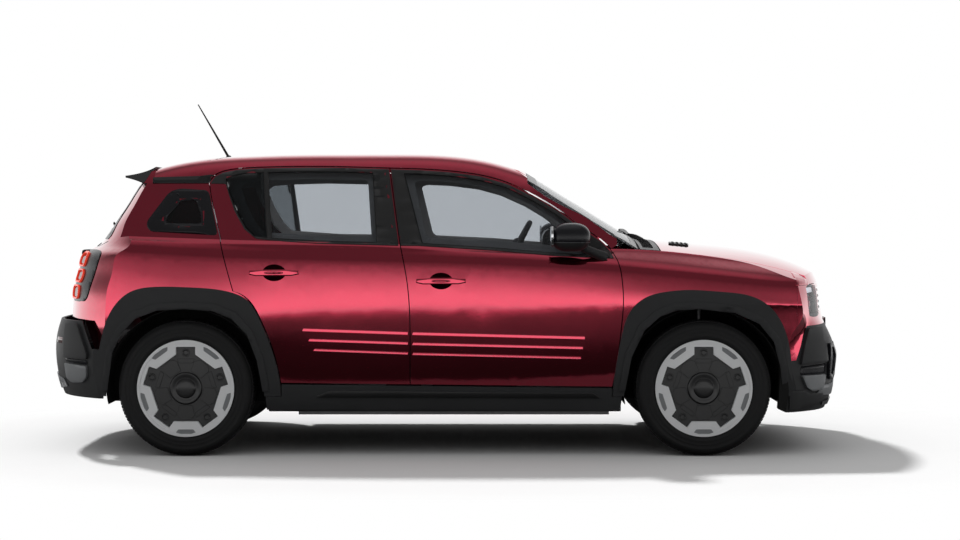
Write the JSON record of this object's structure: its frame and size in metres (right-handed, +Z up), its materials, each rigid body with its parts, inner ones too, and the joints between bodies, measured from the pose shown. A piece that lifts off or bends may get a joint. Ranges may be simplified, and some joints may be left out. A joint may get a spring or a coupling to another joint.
{
  "type": "electric crossover",
  "caption": "Five-door electric crossover car with opening doors, bonnet, tailgate and charge flap, steered front wheels and turning wheels.",
  "frame": {"origin": "on the ground at the middle of the bounding box in plan", "axes": "+X forward, +Y to the left side of the car, +Z up"},
  "size_m": [4.1409, 2.0258, 1.8332],
  "materials": {
    "paint": "glossy metallic red",
    "dark_plastic": "satin",
    "gloss_black": "glossy",
    "glass": "clear",
    "lamp_front": "clear",
    "lamp_rear": "glossy",
    "steel": "satin",
    "raw_metal": "machined",
    "alloy": "satin",
    "tyre": "matte",
    "trim": "grained",
    "seat_fabric": "woven"
  },
  "bodies": {
    "body_shell": {"antenna": "trim", "arch_trims": "dark_plastic", "battery_pack": "raw_metal", "charge_socket": "trim", "cowl": "trim", "dashboard": "trim", "door_pillars": "trim", "drive_unit": "raw_metal", "firewall": "steel", "floor_pan": "steel", "front_bumper": "dark_plastic", "front_fenders": "paint", "front_panel": "paint", "front_rails": "steel", "front_seats": "seat_fabric", "front_subframe": "raw_metal", "grille": "gloss_black", "headlamps": "lamp_front", "quarter_glass": "glass", "quarter_panels": "paint", "rear_axle": "raw_metal", "rear_bench": "seat_fabric", "rear_bumper": "dark_plastic", "roof_panel": "paint", "side_frames": "paint", "sill_trims": "dark_plastic", "sills": "steel", "tail_lamps": "lamp_rear", "wheel_liners": "trim", "windscreen": "glass"},
    "front_door_right_body": {"front_door_right": "paint", "front_door_glass_right": "glass", "mirror_right": "gloss_black"},
    "rear_door_right_body": {"rear_door_right": "paint", "rear_door_glass_right": "glass"},
    "knuckle_right_body": {"knuckle_right": "raw_metal"},
    "front_door_left_body": {"front_door_left": "paint", "front_door_glass_left": "glass", "mirror_left": "gloss_black"},
    "rear_door_left_body": {"rear_door_left": "paint", "rear_door_glass_left": "glass"},
    "knuckle_left_body": {"knuckle_left": "raw_metal"},
    "tailgate_body": {"tailgate_panel": "paint", "tailgate_glass": "glass", "spoiler": "gloss_black"},
    "bonnet_body": {"bonnet": "paint"},
    "steering_wheel_body": {"steering_wheel": "trim"},
    "charge_flap_body": {"charge_flap": "paint"},
    "wheel_front_right_body": {"tyre_front_right": "tyre", "rim_front_right": "alloy"},
    "wheel_front_left_body": {"tyre_front_left": "tyre", "rim_front_left": "alloy"},
    "wheel_rear_right_body": {"tyre_rear_right": "tyre", "rim_rear_right": "alloy"},
    "wheel_rear_left_body": {"tyre_rear_left": "tyre", "rim_rear_left": "alloy"}
  },
  "joints": [
    {"name": "front_door_right_hinge", "type": "hinge", "parent": "body_shell", "child": "front_door_right_body", "pos_m": [0.846, -0.87, 0.7], "axis": [0, 0, 1], "range_deg": [0, 65]},
    {"name": "rear_door_right_hinge", "type": "hinge", "parent": "body_shell", "child": "rear_door_right_body", "pos_m": [-0.229, -0.87, 0.7], "axis": [0, 0, 1], "range_deg": [0, 70]},
    {"name": "front_door_left_hinge", "type": "hinge", "parent": "body_shell", "child": "front_door_left_body", "pos_m": [0.846, 0.87, 0.7], "axis": [0, 0, -1], "range_deg": [0, 65]},
    {"name": "rear_door_left_hinge", "type": "hinge", "parent": "body_shell", "child": "rear_door_left_body", "pos_m": [-0.229, 0.87, 0.7], "axis": [0, 0, -1], "range_deg": [0, 70]},
    {"name": "tailgate_hinge", "type": "hinge", "parent": "body_shell", "child": "tailgate_body", "pos_m": [-1.482, 0, 1.486], "axis": [0, 1, 0], "range_deg": [0, 80]},
    {"name": "bonnet_hinge", "type": "hinge", "parent": "body_shell", "child": "bonnet_body", "pos_m": [1.1, 0, 1.09], "axis": [0, -1, 0], "range_deg": [0, 50]},
    {"name": "right_steering", "type": "hinge", "parent": "body_shell", "child": "knuckle_right_body", "pos_m": [1.323, -0.756, 0.19], "axis": [0, 0.23, 0.9732], "range_deg": [-35, 35]},
    {"name": "left_steering", "type": "hinge", "parent": "body_shell", "child": "knuckle_left_body", "pos_m": [1.323, 0.756, 0.19], "axis": [0, -0.23, 0.9732], "range_deg": [-35, 35]},
    {"name": "charge_flap_hinge", "type": "hinge", "parent": "body_shell", "child": "charge_flap_body", "pos_m": [1.048, 0.882, 0.9], "axis": [0, 0, -1], "range_deg": [0, 100]},
    {"name": "steering_wheel_turn", "type": "hinge", "parent": "body_shell", "child": "steering_wheel_body", "pos_m": [0.392, 0.37, 1.032], "axis": [-0.8829, 0, 0.4695], "range_deg": [-490, 490]},
    {"name": "front_right_wheel_spin", "type": "hinge", "parent": "knuckle_right_body", "child": "wheel_front_right_body", "pos_m": [1.323, -0.776, 0.345], "axis": [0, 1, 0], "continuous": true},
    {"name": "front_left_wheel_spin", "type": "hinge", "parent": "knuckle_left_body", "child": "wheel_front_left_body", "pos_m": [1.323, 0.776, 0.345], "axis": [0, 1, 0], "continuous": true},
    {"name": "rear_right_wheel_spin", "type": "hinge", "parent": "body_shell", "child": "wheel_rear_right_body", "pos_m": [-1.302, -0.776, 0.345], "axis": [0, 1, 0], "continuous": true},
    {"name": "rear_left_wheel_spin", "type": "hinge", "parent": "body_shell", "child": "wheel_rear_left_body", "pos_m": [-1.302, 0.776, 0.345], "axis": [0, 1, 0], "continuous": true}
  ],
  "couplings": [
    {"joint": "left_steering", "follows": "right_steering", "ratio": 1},
    {"joint": "steering_wheel_turn", "follows": "right_steering", "ratio": 14}
  ]
}
